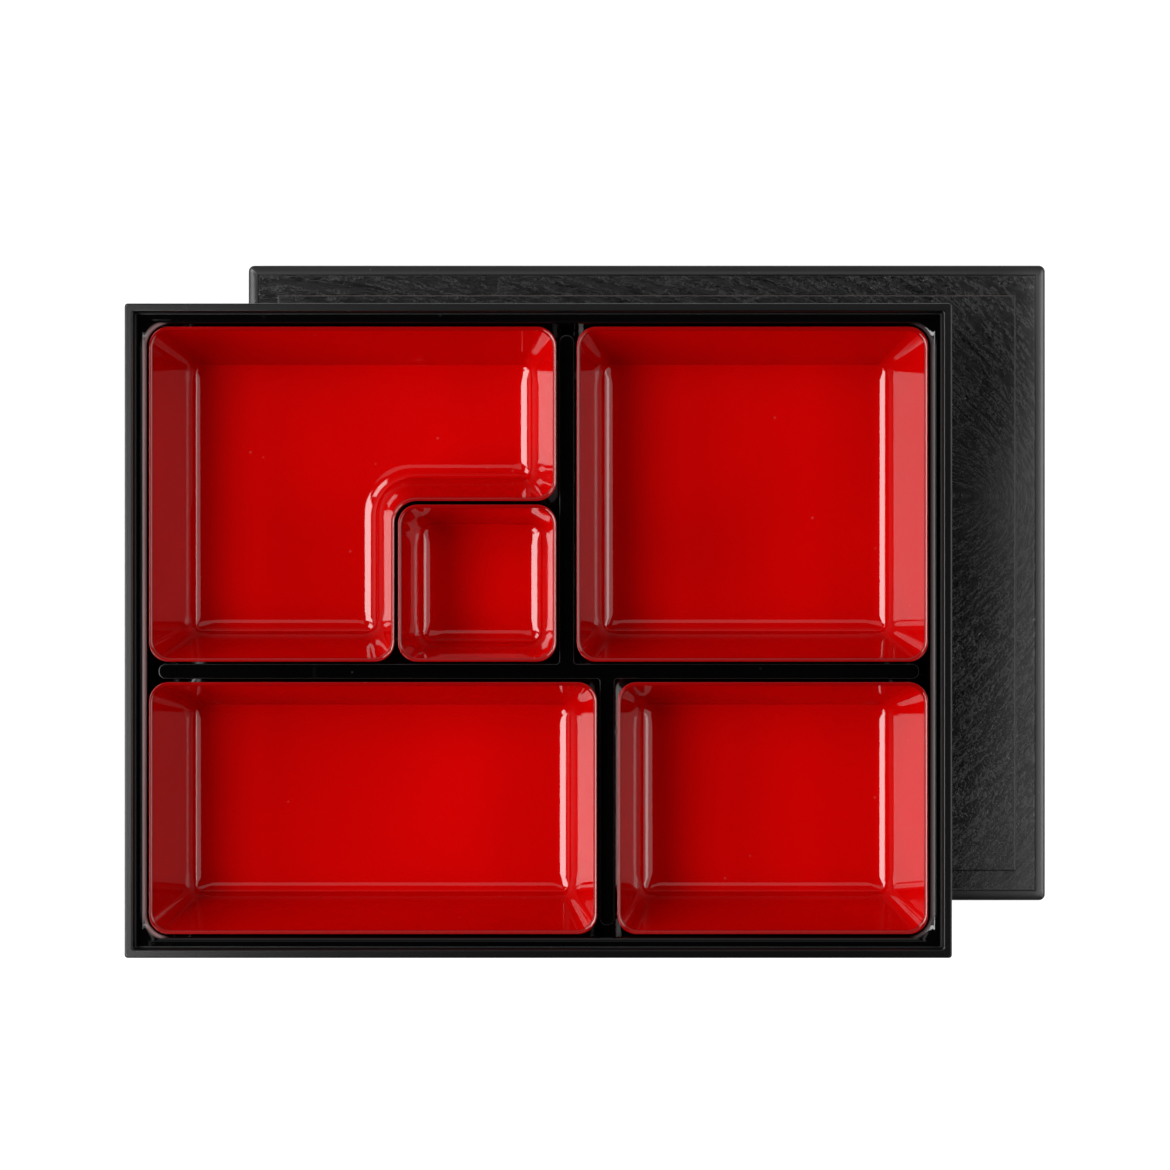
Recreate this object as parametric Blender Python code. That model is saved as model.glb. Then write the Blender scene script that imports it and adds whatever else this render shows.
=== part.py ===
# Shokado bento box: an outer box that holds a loose divider and five food trays,
# standing on its own lid as it does when the meal is served.
# Metres, +Z up, +X along the long side. The origin is on the table, under the middle
# of the whole set.

import math

import bmesh
import bpy
from mathutils import Vector

MM = 0.001

# Room left between pieces
SEAT = 0.3 * MM              # under a piece that stands on another
TRAY_PLAY = 0.9 * MM         # round a tray's rim, to the pocket wall or to the divider
CUP_PLAY = 1.2 * MM          # between the cup and the notch that it stands in
LID_PLAY = 1.6 * MM          # round the box, inside the lid's skirt
DIVIDER_PLAY = 1.0 * MM      # from the divider's ends to the pocket wall, at the floor

# Outer box
BOX_LENGTH = 273.0 * MM
BOX_WIDTH = 216.0 * MM
BOX_CORNER = 1.1 * MM        # corner radius, seen from above
BOX_DRAFT = 1.8 * MM         # how far each side leans in from the rim to the foot
RIM_WIDTH = 2.8 * MM
RIM_ROUND = 0.5 * MM
RIM_DROP = 4.4 * MM          # from the rim down to the ledge
LEDGE_WIDTH = 3.4 * MM
POCKET_DEPTH = 40.6 * MM     # from the ledge down to the floor
POCKET_EDGE = 1.7 * MM       # rounding where the ledge turns down into the pocket
LEDGE_CORNER = 1.2 * MM      # corner radius where that rounding starts
POCKET_CORNER = 7.5 * MM     # and where it ends, so that a sloping patch fills each corner
POCKET_DRAFT = 1.2 * MM
POCKET_FILLET = 0.9 * MM
BOX_FLOOR = 2.8 * MM
FOOT_HEIGHT = 2.2 * MM
FOOT_WIDTH = 4.0 * MM
FOOT_INSET = 1.5 * MM        # from the box's side in to the foot
FOOT_EDGE = 0.5 * MM

# Lid
LID_SKIRT = 20.0 * MM        # depth of the hollow under the lid
LID_WALL = 2.4 * MM
LID_PLATE = 2.4 * MM
LID_CORNER = 2.2 * MM
LID_EDGE = 0.9 * MM          # rounding at the top of the skirt
LID_HEM = 0.4 * MM           # chamfer along the skirt's lower edge
BEVEL_WIDTH = 2.4 * MM
BEVEL_DROP = 0.8 * MM
BORDER_WIDTH = 7.2 * MM      # flat border between the bevel and the raised panel
PANEL_RISE = 1.1 * MM
PANEL_SLOPE = 0.8 * MM

# Divider
DIVIDER_THICKNESS = 5.0 * MM
DIVIDER_DROP = 6.0 * MM      # from the ledge down to the divider's top
DIVIDER_EDGE = 0.7 * MM
DIVIDER_FILLET = 1.0 * MM    # where two bars meet

# Trays
UPPER_ROW_DEPTH = 111.3 * MM
L_TRAY_LENGTH = 135.3 * MM
LONG_TRAY_LENGTH = 148.8 * MM
CUP_LENGTH = 52.6 * MM
CUP_DEPTH = 52.2 * MM
TRAY_SUNK = 1.0 * MM         # from the ledge down to the trays' rims
TRAY_WALL = 1.4 * MM
TRAY_LIP = 2.2 * MM          # upright band under the rim
TRAY_FLOOR = 2.0 * MM
TRAY_CORNER = 6.4 * MM
TRAY_RIM_ROUND = 0.3 * MM
TRAY_RIM_SLOPE = 0.9 * MM    # width of the rim's rounding on its inner side
TRAY_RIM_FALL = 0.6 * MM     # and its height
TRAY_TAPER = 9.6 * MM        # from the rim's outside in to where the inner wall would meet the floor
DISH_RADIUS = 11.0 * MM      # gentle rise round the floor
DISH_TILT = 27.0             # degrees, where the rise reaches the wall's foot
TRAY_FILLET = 0.8 * MM       # between the rise and the wall
TRAY_FLOOR_CORNER = 3.0 * MM
TRAY_UNDER_ROUND = 2.4 * MM
TRAY_FOOT_WIDTH = 2.5 * MM
TRAY_FOOT_HEIGHT = 0.6 * MM
CUP_TAPER = 5.8 * MM
NOTCH_GROWTH = 0.6           # how much the notch's radius grows as the wall leans in

# Where the box stands on the lid: its centre, from the lid's centre
BOX_SHIFT_X = -37.2 * MM
BOX_SHIFT_Y = -15.8 * MM

# Smoothness of round stretches
CORNER_SEGMENTS = 5
FILLET_SEGMENTS = 4

# Sizes that follow from the ones above
BOX_HEIGHT = FOOT_HEIGHT + BOX_FLOOR + POCKET_DEPTH + RIM_DROP
LEDGE_Z = BOX_HEIGHT - RIM_DROP
FLOOR_Z = FOOT_HEIGHT + BOX_FLOOR
POCKET_LENGTH = BOX_LENGTH - 2 * (RIM_WIDTH + LEDGE_WIDTH)
POCKET_WIDTH = BOX_WIDTH - 2 * (RIM_WIDTH + LEDGE_WIDTH)
TRAY_GAP = DIVIDER_THICKNESS + 2 * TRAY_PLAY
FIELD_X = POCKET_LENGTH / 2 - TRAY_PLAY
FIELD_Y = POCKET_WIDTH / 2 - TRAY_PLAY
ROW_Y = FIELD_Y - UPPER_ROW_DEPTH          # lower edge of the upper row of trays
LOWER_ROW_Y = ROW_Y - TRAY_GAP             # upper edge of the lower row
L_TRAY_X = -FIELD_X + L_TRAY_LENGTH        # right edge of the L-shaped tray
LONG_TRAY_X = -FIELD_X + LONG_TRAY_LENGTH
TRAY_HEIGHT = POCKET_DEPTH - TRAY_SUNK - SEAT
DIVIDER_HEIGHT = POCKET_DEPTH - DIVIDER_DROP - SEAT
STAND_Z = FLOOR_Z + SEAT                   # what stands on the box's floor
LID_LENGTH = BOX_LENGTH + 2 * (LID_PLAY + LID_WALL)
LID_WIDTH = BOX_WIDTH + 2 * (LID_PLAY + LID_WALL)
BORDER_Z = LID_SKIRT + LID_PLATE
LID_HEIGHT = BORDER_Z + PANEL_RISE


# Outlines and solids

def rectangle(left, right, front, back):
    """Corners of a rectangle, anticlockwise from above."""
    return [Vector((left, front)), Vector((right, front)), Vector((right, back)), Vector((left, back))]


def centred_rectangle(length, width):
    return rectangle(-length / 2, length / 2, -width / 2, width / 2)


def left_of(direction):
    return Vector((-direction.y, direction.x))


def rounded_outline(corners, inset, radii, segments=CORNER_SEGMENTS):
    """A right-angled outline drawn in by inset, each corner turned into an arc of its own radius."""
    count = len(corners)
    points = []
    for index, corner in enumerate(corners):
        arriving = (corner - corners[index - 1]).normalized()
        leaving = (corners[(index + 1) % count] - corner).normalized()
        turn = 1 if arriving.cross(leaving) > 0 else -1
        moved = corner + (left_of(arriving) + left_of(leaving)) * inset
        radius = radii[index]
        start = moved - arriving * radius
        centre = start + left_of(arriving) * radius * turn
        for step in range(segments + 1):
            angle = turn * math.pi / 2 * step / segments
            across = start - centre
            swept = Vector((across.x * math.cos(angle) - across.y * math.sin(angle),
                            across.x * math.sin(angle) + across.y * math.cos(angle)))
            points.append(centre + swept)
    return points


def quarter_round(start, end, bulge_first, segments=FILLET_SEGMENTS):
    """Points (inset, height) of a quarter ellipse from start to end, both included.

    bulge_first is 'height' where the curve leaves start upright, and 'inset' where it leaves level.
    """
    points = []
    for step in range(segments + 1):
        angle = math.pi / 2 * step / segments
        early = math.sin(angle)
        late = 1 - math.cos(angle)
        inset_share = late if bulge_first == "height" else early
        height_share = early if bulge_first == "height" else late
        points.append((start[0] + (end[0] - start[0]) * inset_share,
                       start[1] + (end[1] - start[1]) * height_share))
    return points


def plastic(name, colour, roughness):
    material = bpy.data.materials.new(name)
    material.use_nodes = True
    shader = material.node_tree.nodes["Principled BSDF"]
    shader.inputs["Base Color"].default_value = (*colour, 1.0)
    shader.inputs["Roughness"].default_value = roughness
    shader.inputs["Metallic"].default_value = 0.0
    return material


def stacked_solid(name, rings, material, location, parent=None):
    """A closed solid whose skin runs through the rings in order, with its first and last ring filled.

    Each ring is (outline, height). The rings climb the outside and come back down the inside.
    """
    bm = bmesh.new()
    loops = [[bm.verts.new((point.x, point.y, height)) for point in outline] for outline, height in rings]
    bm.faces.new(reversed(loops[0]))
    for lower, upper in zip(loops, loops[1:]):
        for index, corner in enumerate(lower):
            following = (index + 1) % len(lower)
            bm.faces.new((corner, lower[following], upper[following], upper[index]))
    bm.faces.new(loops[-1])
    bmesh.ops.recalc_face_normals(bm, faces=bm.faces)
    mesh = bpy.data.meshes.new(name)
    bm.to_mesh(mesh)
    bm.free()
    mesh.shade_smooth()
    mesh.set_sharp_from_angle(angle=math.radians(32))
    mesh.materials.append(material)
    piece = bpy.data.objects.new(name, mesh)
    bpy.context.scene.collection.objects.link(piece)
    piece.parent = parent
    piece.location = location
    return piece


# Lid

def make_lid(material, location):
    """A shallow cap with a bevelled edge, a flat border and a raised panel."""
    plan = centred_rectangle(LID_LENGTH, LID_WIDTH)
    wall_in = LID_EDGE + BEVEL_WIDTH
    bevel_foot = BORDER_Z - BEVEL_DROP
    panel_foot = wall_in + BORDER_WIDTH
    profile = [(LID_WALL, LID_SKIRT), (LID_WALL, LID_HEM), (LID_WALL - LID_HEM, 0.0), (LID_HEM, 0.0),
               (0.0, LID_HEM)]
    profile += quarter_round((0.0, bevel_foot - LID_EDGE), (LID_EDGE, bevel_foot), "height")
    profile += [(wall_in, BORDER_Z), (panel_foot, BORDER_Z), (panel_foot + PANEL_SLOPE, LID_HEIGHT)]
    rings = []
    for inset, height in profile:
        radius = max(LID_CORNER - inset, LID_CORNER / 3)
        rings.append((rounded_outline(plan, inset, [radius] * 4), height))
    return stacked_solid("lid", rings, material, location)


# Outer box

def make_outer_box(material, location, lid):
    """A box with a foot, leaning sides, a rim, a ledge inside the rim and a pocket below the ledge."""
    plan = centred_rectangle(BOX_LENGTH, BOX_WIDTH)
    side = BOX_DRAFT
    foot = side + FOOT_INSET
    lip = RIM_WIDTH
    pocket = RIM_WIDTH + LEDGE_WIDTH
    pocket_foot = pocket + POCKET_DRAFT
    outside = [(foot + FOOT_WIDTH, FOOT_HEIGHT), (foot + FOOT_WIDTH, 0.0), (foot + FOOT_EDGE, 0.0),
               (foot, FOOT_EDGE), (foot, FOOT_HEIGHT), (side + FOOT_EDGE, FOOT_HEIGHT),
               (side, FOOT_HEIGHT + FOOT_EDGE)]
    rim = quarter_round((0.0, BOX_HEIGHT - RIM_ROUND), (RIM_ROUND, BOX_HEIGHT), "height")
    rim += quarter_round((lip - RIM_ROUND, BOX_HEIGHT), (lip, BOX_HEIGHT - RIM_ROUND), "inset")
    edge = quarter_round((pocket - POCKET_EDGE, LEDGE_Z), (pocket, LEDGE_Z - POCKET_EDGE), "inset")
    floor = quarter_round((pocket_foot, FLOOR_Z + POCKET_FILLET), (pocket_foot + POCKET_FILLET, FLOOR_Z),
                          "height")
    rings = []
    for inset, height in outside + rim:
        rings.append((rounded_outline(plan, inset, [BOX_CORNER] * 4), height))
    rings.append((rounded_outline(plan, lip, [BOX_CORNER / 2] * 4), LEDGE_Z))
    for inset, height in edge:
        turned_down = 1 - (pocket - inset) / POCKET_EDGE
        radius = LEDGE_CORNER + (POCKET_CORNER - LEDGE_CORNER) * turned_down
        rings.append((rounded_outline(plan, inset, [radius] * 4), height))
    for inset, height in floor:
        rings.append((rounded_outline(plan, inset, [POCKET_CORNER] * 4), height))
    return stacked_solid("outer_box", rings, material, location, lid)


# Divider

def make_divider(material, outer_box):
    """Three upright bars in one piece: one along the pocket, one behind it and one in front of it."""
    half = DIVIDER_THICKNESS / 2
    end_x = POCKET_LENGTH / 2 - POCKET_DRAFT - POCKET_FILLET - DIVIDER_PLAY
    end_y = POCKET_WIDTH / 2 - POCKET_DRAFT - POCKET_FILLET - DIVIDER_PLAY
    bar_y = (ROW_Y + LOWER_ROW_Y) / 2
    back_x = L_TRAY_X + TRAY_GAP / 2
    front_x = LONG_TRAY_X + TRAY_GAP / 2
    near, far = bar_y - half, bar_y + half
    plan = [(-end_x, near), (front_x - half, near), (front_x - half, -end_y), (front_x + half, -end_y),
            (front_x + half, near), (end_x, near), (end_x, far), (back_x + half, far),
            (back_x + half, end_y), (back_x - half, end_y), (back_x - half, far), (-end_x, far)]
    corners = [Vector(point) for point in plan]
    end = half - DIVIDER_EDGE / 2
    joint = DIVIDER_FILLET
    radii = [end, joint, end, end, joint, end, end, joint, end, end, joint, end]
    rings = [(rounded_outline(corners, 0.0, radii), 0.0)]
    top = quarter_round((0.0, DIVIDER_HEIGHT - DIVIDER_EDGE), (DIVIDER_EDGE, DIVIDER_HEIGHT), "height", 2)
    for inset, height in top:
        shrunk = [radius + inset if radius == joint else radius - inset for radius in radii]
        rings.append((rounded_outline(corners, inset, shrunk), height))
    return stacked_solid("divider", rings, material, (0.0, 0.0, STAND_Z), outer_box)


# Trays

def dished_foot(taper):
    """(inset, height) from the foot of the inner wall, over a tight round and a gentle rise, to the floor.

    Each point is where the skin has a given tilt, and both arcs end at the tilt that they share.
    """
    lean = math.atan2(taper - TRAY_WALL, TRAY_HEIGHT - TRAY_FLOOR)
    shared = math.radians(DISH_TILT)
    wall_tilt = math.pi / 2 - lean
    steep = [wall_tilt + (shared - wall_tilt) * step / FILLET_SEGMENTS for step in range(FILLET_SEGMENTS)]
    gentle = [shared * (1 - step / FILLET_SEGMENTS) for step in range(FILLET_SEGMENTS + 1)]
    reach_climb = []
    for tilt in steep + gentle:
        low = min(tilt, shared)
        reach = DISH_RADIUS * math.sin(low) + TRAY_FILLET * (math.sin(tilt) - math.sin(low))
        climb = DISH_RADIUS * (1 - math.cos(low)) + TRAY_FILLET * (math.cos(low) - math.cos(tilt))
        reach_climb.append((reach, climb))
    widest, highest = reach_climb[0]
    level = taper - math.tan(lean) * highest + widest
    return [(level - reach, TRAY_FLOOR + climb) for reach, climb in reach_climb]


def tray_profile(taper):
    """(inset, height) from the middle of the underside, up the outside, over the rim and down inside."""
    under = taper - TRAY_WALL
    lip_z = TRAY_HEIGHT - TRAY_LIP
    lean = (taper - TRAY_WALL) / (TRAY_HEIGHT - TRAY_FLOOR)
    outer_turn = under - lean * TRAY_UNDER_ROUND
    outside = [(under + TRAY_UNDER_ROUND + TRAY_FOOT_WIDTH, TRAY_FOOT_HEIGHT),
               (under + TRAY_UNDER_ROUND + TRAY_FOOT_WIDTH, 0.0)]
    outside += quarter_round((under + TRAY_UNDER_ROUND, 0.0), (outer_turn, TRAY_UNDER_ROUND), "inset", 2)
    outside += [(0.0, lip_z)]
    rim = quarter_round((0.0, TRAY_HEIGHT - TRAY_RIM_ROUND), (TRAY_RIM_ROUND, TRAY_HEIGHT), "height", 2)
    rim += quarter_round((TRAY_WALL - TRAY_RIM_SLOPE, TRAY_HEIGHT),
                         (TRAY_WALL, TRAY_HEIGHT - TRAY_RIM_FALL), "inset", 2)
    return outside + rim + dished_foot(taper)


def make_tray(name, corners, material, outer_box, taper=TRAY_TAPER):
    """A tray on the box's floor whose walls lean in. A corner that turns inward follows the cup's."""
    centre = sum(corners, Vector((0.0, 0.0))) / len(corners)
    plan = [corner - centre for corner in corners]
    inward = []
    for index, corner in enumerate(plan):
        arriving = corner - plan[index - 1]
        leaving = plan[(index + 1) % len(plan)] - corner
        inward.append(arriving.cross(leaving) < 0)
    rings = []
    for inset, height in tray_profile(taper):
        drawn_in = min(inset / taper, 1.0)
        outward_radius = TRAY_CORNER + (TRAY_FLOOR_CORNER - TRAY_CORNER) * drawn_in
        notch_radius = TRAY_CORNER + CUP_PLAY + NOTCH_GROWTH * inset
        radii = [notch_radius if turned else outward_radius for turned in inward]
        rings.append((rounded_outline(plan, inset, radii), height))
    return stacked_solid(name, rings, material, (centre.x, centre.y, STAND_Z), outer_box)


def make_trays(material, outer_box):
    """The L-shaped tray with the cup in its notch, and three rectangular trays."""
    notch_x = L_TRAY_X - CUP_LENGTH - CUP_PLAY
    notch_y = ROW_Y + CUP_DEPTH + CUP_PLAY
    l_plan = [(-FIELD_X, ROW_Y), (notch_x, ROW_Y), (notch_x, notch_y), (L_TRAY_X, notch_y),
              (L_TRAY_X, FIELD_Y), (-FIELD_X, FIELD_Y)]
    make_tray("l_shaped_tray", [Vector(point) for point in l_plan], material, outer_box)
    cup_plan = rectangle(L_TRAY_X - CUP_LENGTH, L_TRAY_X, ROW_Y, ROW_Y + CUP_DEPTH)
    make_tray("sauce_cup", cup_plan, material, outer_box, CUP_TAPER)
    make_tray("square_tray", rectangle(L_TRAY_X + TRAY_GAP, FIELD_X, ROW_Y, FIELD_Y), material, outer_box)
    make_tray("long_tray", rectangle(-FIELD_X, LONG_TRAY_X, -FIELD_Y, LOWER_ROW_Y), material, outer_box)
    make_tray("small_tray", rectangle(LONG_TRAY_X + TRAY_GAP, FIELD_X, -FIELD_Y, LOWER_ROW_Y), material,
              outer_box)


def middle_of_set(shift, lid_size, box_size):
    """Middle, along one axis, of the lid at 0 and the box at shift."""
    low = min(-lid_size / 2, shift - box_size / 2)
    high = max(lid_size / 2, shift + box_size / 2)
    return (low + high) / 2


def build():
    for old in list(bpy.data.objects):
        bpy.data.objects.remove(old, do_unlink=True)
    black = plastic("black_lacquer", (0.012, 0.012, 0.013), 0.28)
    grained = plastic("grained_black", (0.016, 0.016, 0.017), 0.42)
    red = plastic("red_lacquer", (0.56, 0.008, 0.010), 0.22)
    lid_place = (-middle_of_set(BOX_SHIFT_X, LID_LENGTH, BOX_LENGTH),
                 -middle_of_set(BOX_SHIFT_Y, LID_WIDTH, BOX_WIDTH), 0.0)
    lid = make_lid(grained, lid_place)
    outer_box = make_outer_box(black, (BOX_SHIFT_X, BOX_SHIFT_Y, LID_HEIGHT + SEAT), lid)
    make_divider(black, outer_box)
    make_trays(red, outer_box)


build()
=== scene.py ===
import math

import bpy
import numpy as np
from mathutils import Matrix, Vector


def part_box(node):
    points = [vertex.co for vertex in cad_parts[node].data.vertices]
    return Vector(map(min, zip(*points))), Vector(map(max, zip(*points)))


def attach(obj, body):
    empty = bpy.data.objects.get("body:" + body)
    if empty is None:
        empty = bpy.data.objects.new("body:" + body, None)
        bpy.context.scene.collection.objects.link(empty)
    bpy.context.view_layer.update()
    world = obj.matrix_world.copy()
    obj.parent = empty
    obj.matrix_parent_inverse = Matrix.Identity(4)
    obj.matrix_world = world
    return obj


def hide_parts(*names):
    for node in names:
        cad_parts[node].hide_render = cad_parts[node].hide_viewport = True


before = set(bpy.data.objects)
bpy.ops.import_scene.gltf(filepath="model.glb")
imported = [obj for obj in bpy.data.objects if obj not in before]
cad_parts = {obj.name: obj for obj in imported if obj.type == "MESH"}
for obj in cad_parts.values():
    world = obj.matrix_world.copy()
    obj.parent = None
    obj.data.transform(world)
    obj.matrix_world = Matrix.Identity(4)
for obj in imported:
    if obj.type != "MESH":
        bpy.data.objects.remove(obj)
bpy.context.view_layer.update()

mm = 0.001
closing = 0.4 * mm          # from a skin's last edge inwards to the ring that one flat face fills
sharpAngle = 38.0           # in degrees: edges that turn more than this stay sharp


# Small tools for every piece

# Points on a circle in the (inset, height) plane: centre + radius (cos t, sin t).
def arcPoints(inset, height, radius, startDegrees, endDegrees, steps):
    turn = np.radians(np.linspace(startDegrees, endDegrees, steps + 1))
    return np.stack([inset + radius * np.cos(turn), height + radius * np.sin(turn)], axis=1)


# Points between start and end, neither included: start + s (end - start) with s = (1 - cos t) / 2,
# so they crowd towards both ends and the shading of the flat stretch stays flat.
def runPoints(start, end, steps):
    share = (1 - np.cos(np.linspace(0, math.pi, steps + 2)[1:-1])) / 2
    start, end = np.array(start), np.array(end)
    return start + share[:, None] * (end - start)


# The direction in which an outline arrives at each corner, and 1 where it turns left or -1 right.
def cornerTurns(corners):
    arriving = corners - np.roll(corners, 1, axis=0)
    arriving /= np.linalg.norm(arriving, axis=1, keepdims=True)
    leaving = np.roll(arriving, -1, axis=0)
    return arriving, np.sign(arriving[:, 0] * leaving[:, 1] - arriving[:, 1] * leaving[:, 0])


# A right-angled plan outline carried along a profile. Ring v is the outline drawn in by insets[v],
# and its corner k is the quarter circle centre - inward r turn cos t + arriving r sin t, t from 0
# to a right angle. Sides are straight blends with cosine spacing. Gives (rings, points, 2), with
# steps for each arc and each side.
def planRings(corners, insets, radii, steps):
    corners = np.array(corners, dtype=float)
    arriving, turn = cornerTurns(corners)
    turn = turn[:, None]
    inward = np.stack([-arriving[:, 1], arriving[:, 0]], axis=1)
    inwardNext = np.roll(inward, -1, axis=0)
    moved = corners[None] + (inward + inwardNext)[None] * insets[:, None, None]
    radius = radii[:, :, None]
    centre = moved - arriving * radius + inward * radius * turn
    sweep = np.linspace(0, math.pi / 2, steps[0] + 1)[None, None, :, None]
    arcs = centre[:, :, None] + radius[:, :, None] * (
        -(inward * turn)[None, :, None] * np.cos(sweep) + arriving[None, :, None] * np.sin(sweep))
    share = ((1 - np.cos(np.linspace(0, math.pi, steps[1] + 1)[1:-1])) / 2)[None, None, :, None]
    sideStart = arcs[:, :, -1:]
    sideEnd = np.roll(arcs[:, :, :1], -1, axis=1)
    sides = sideStart + share * (sideEnd - sideStart)
    return np.concatenate([arcs, sides], axis=2).reshape(len(insets), -1, 2)


# A closed skin over a stack of rings (rings, points, 3): quads between neighbours, and one flat
# face that closes the first ring and one that closes the last.
def ringFaces(ringCount, pointCount):
    index = np.arange(ringCount * pointCount).reshape(ringCount, pointCount)
    following = np.roll(index, -1, axis=1)
    quads = np.stack([index[:-1], following[:-1], following[1:], index[1:]], axis=-1).reshape(-1, 4)
    return quads.tolist() + [index[0, ::-1].tolist(), index[-1].tolist()]


def storeFloat(mesh, name, values):
    layer = mesh.attributes.new(name, "FLOAT", "POINT")
    layer.data.foreach_set("value", np.ascontiguousarray(values, dtype=np.float32).ravel())


def addPiece(name, points, faces, node, slotName, masks):
    mesh = bpy.data.meshes.new(name)
    mesh.from_pydata(points.reshape(-1, 3).tolist(), [], faces)
    mesh.shade_smooth()
    mesh.set_sharp_from_angle(angle=math.radians(sharpAngle))
    for maskName, values in masks.items():
        storeFloat(mesh, maskName, values)
    mesh.materials.append(slotMaterials[slotName])
    piece = bpy.data.objects.new(name, mesh)
    bpy.context.scene.collection.objects.link(piece)
    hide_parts(node)
    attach(piece, node)          # each body is named after its one node
    print("made", name, len(mesh.polygons), "faces")
    return piece


# One ring per profile point. masks holds a value for each profile point, spread round its ring, or
# one for each point of each ring.
def carriedPiece(name, corners, profile, radii, node, slotName, masks, baseZ, steps):
    flat = planRings(corners, profile[:, 0], radii, steps)
    heights = np.broadcast_to((baseZ + profile[:, 1])[:, None, None], flat.shape[:2] + (1,))
    points = np.concatenate([flat, heights], axis=2)
    spread = {key: np.broadcast_to(values.reshape(len(profile), -1), flat.shape[:2])
              for key, values in masks.items()}
    return addPiece(name, points, ringFaces(*flat.shape[:2]), node, slotName, spread)


def rectangle(low, high):
    return [(low[0], low[1]), (high[0], low[1]), (high[0], high[1]), (low[0], high[1])]


# Smooth noise on a plane: seeded random heights on a square lattice that repeats after its count of
# cells, blended with s = 3t^2 - 2t^3.
def planeNoise(x, y, cell, seed):
    count = 64
    grid = np.random.default_rng(seed).uniform(-1, 1, (count, count))
    column, row = x / cell, y / cell
    left, near = np.floor(column).astype(int), np.floor(row).astype(int)
    across, up = column - left, row - near
    across, up = across * across * (3 - 2 * across), up * up * (3 - 2 * up)
    pick = lambda i, j: grid[(left + i) % count, (near + j) % count]
    lower = pick(0, 0) * (1 - across) + pick(1, 0) * across
    upper = pick(0, 1) * (1 - across) + pick(1, 1) * across
    return lower * (1 - up) + upper * up


# From 0 at low to 1 at high: 3t^2 - 2t^3 of the share t of the way, clipped at both ends.
def smoothShare(value, low, high):
    share = np.clip((value - low) / (high - low), 0, 1)
    return share * share * (3 - 2 * share)


# Node tools

# A group that takes a place and some numbers, and puts out numbers.
def newGroup(name, inputs, outputs):
    group = bpy.data.node_groups.new(name, "ShaderNodeTree")
    sockets = [("Vector", "INPUT", "NodeSocketVector")]
    sockets += [(label, "INPUT", "NodeSocketFloat") for label in inputs]
    sockets += [(label, "OUTPUT", "NodeSocketFloat") for label in outputs]
    for label, side, kind in sockets:
        group.interface.new_socket(name=label, in_out=side, socket_type=kind)
    return group, group.nodes.new("NodeGroupInput"), group.nodes.new("NodeGroupOutput")


def addNode(tree, kind, **settings):
    node = tree.nodes.new(kind)
    for key, value in settings.items():
        setattr(node, key, value)
    return node


# A number or a colour goes on the socket itself, and another node's output is linked to it.
def setInput(tree, socket, value):
    if isinstance(value, tuple):
        socket.default_value = (*value, 1.0)
    elif isinstance(value, (int, float)):
        socket.default_value = value
    else:
        tree.links.new(value, socket)


def mathNode(tree, operation, first, second):
    node = addNode(tree, "ShaderNodeMath", operation=operation)
    setInput(tree, node.inputs[0], first)
    setInput(tree, node.inputs[1], second)
    return node.outputs[0]


def mapRange(tree, value, fromLow, fromHigh, toLow, toHigh):
    node = addNode(tree, "ShaderNodeMapRange", clamp=True, interpolation_type="SMOOTHSTEP")
    values = {"Value": value, "From Min": fromLow, "From Max": fromHigh, "To Min": toLow,
              "To Max": toHigh}
    for key, number in values.items():
        setInput(tree, node.inputs[key], number)
    return node.outputs["Result"]


def noiseNode(tree, vector, scale, detail, roughness):
    node = addNode(tree, "ShaderNodeTexNoise", noise_dimensions="3D")
    values = {"Vector": vector, "Scale": scale, "Detail": detail, "Roughness": roughness}
    for key, number in values.items():
        setInput(tree, node.inputs[key], number)
    return node.outputs["Fac"]


# Inputs 6 and 7 and output 2 are the mix node's colour sockets.
def mixColour(tree, share, first, second):
    node = addNode(tree, "ShaderNodeMix", data_type="RGBA")
    for slotIndex, value in ((0, share), (6, first), (7, second)):
        setInput(tree, node.inputs[slotIndex], value)
    return node.outputs[2]


# Shared finishes, each a group that puts out masks and heights only

# Kept: from where to where a noise counts. Noise: its detail and roughness. The rub marks run two
# ways, each with its turn in radians and its stretch.
finish = {"speckEdge": (0.05, 0.16), "rubKept": (0.60, 0.72), "rubNoise": (3.0, 0.6),
          "rubWays": ((0.35, (1.0, 0.035, 1.0)), (-0.8, (0.04, 1.0, 1.0))),
          "flowKept": (0.3, 0.7), "flowNoise": (1.0, 0.4), "skinNoise": (2.0, 0.5)}


# Dust: sparse round specks, where the nearest cell centre lies within a small share of a cell,
# and only in the cells whose random tone stays below the amount.
def makeDustGroup():
    group, start, end = newGroup("dustSpecks", ("Cells", "Amount"), ("Mask",))
    cells = addNode(group, "ShaderNodeTexVoronoi", voronoi_dimensions="3D", feature="F1")
    group.links.new(start.outputs["Vector"], cells.inputs["Vector"])
    group.links.new(start.outputs["Cells"], cells.inputs["Scale"])
    near = mapRange(group, cells.outputs["Distance"], *finish["speckEdge"], 1.0, 0.0)
    tone = addNode(group, "ShaderNodeSeparateColor")
    group.links.new(cells.outputs["Color"], tone.inputs[0])
    chosen = mathNode(group, "LESS_THAN", tone.outputs[0], start.outputs["Amount"])
    group.links.new(mathNode(group, "MULTIPLY", near, chosen), end.inputs["Mask"])
    return group


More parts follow.
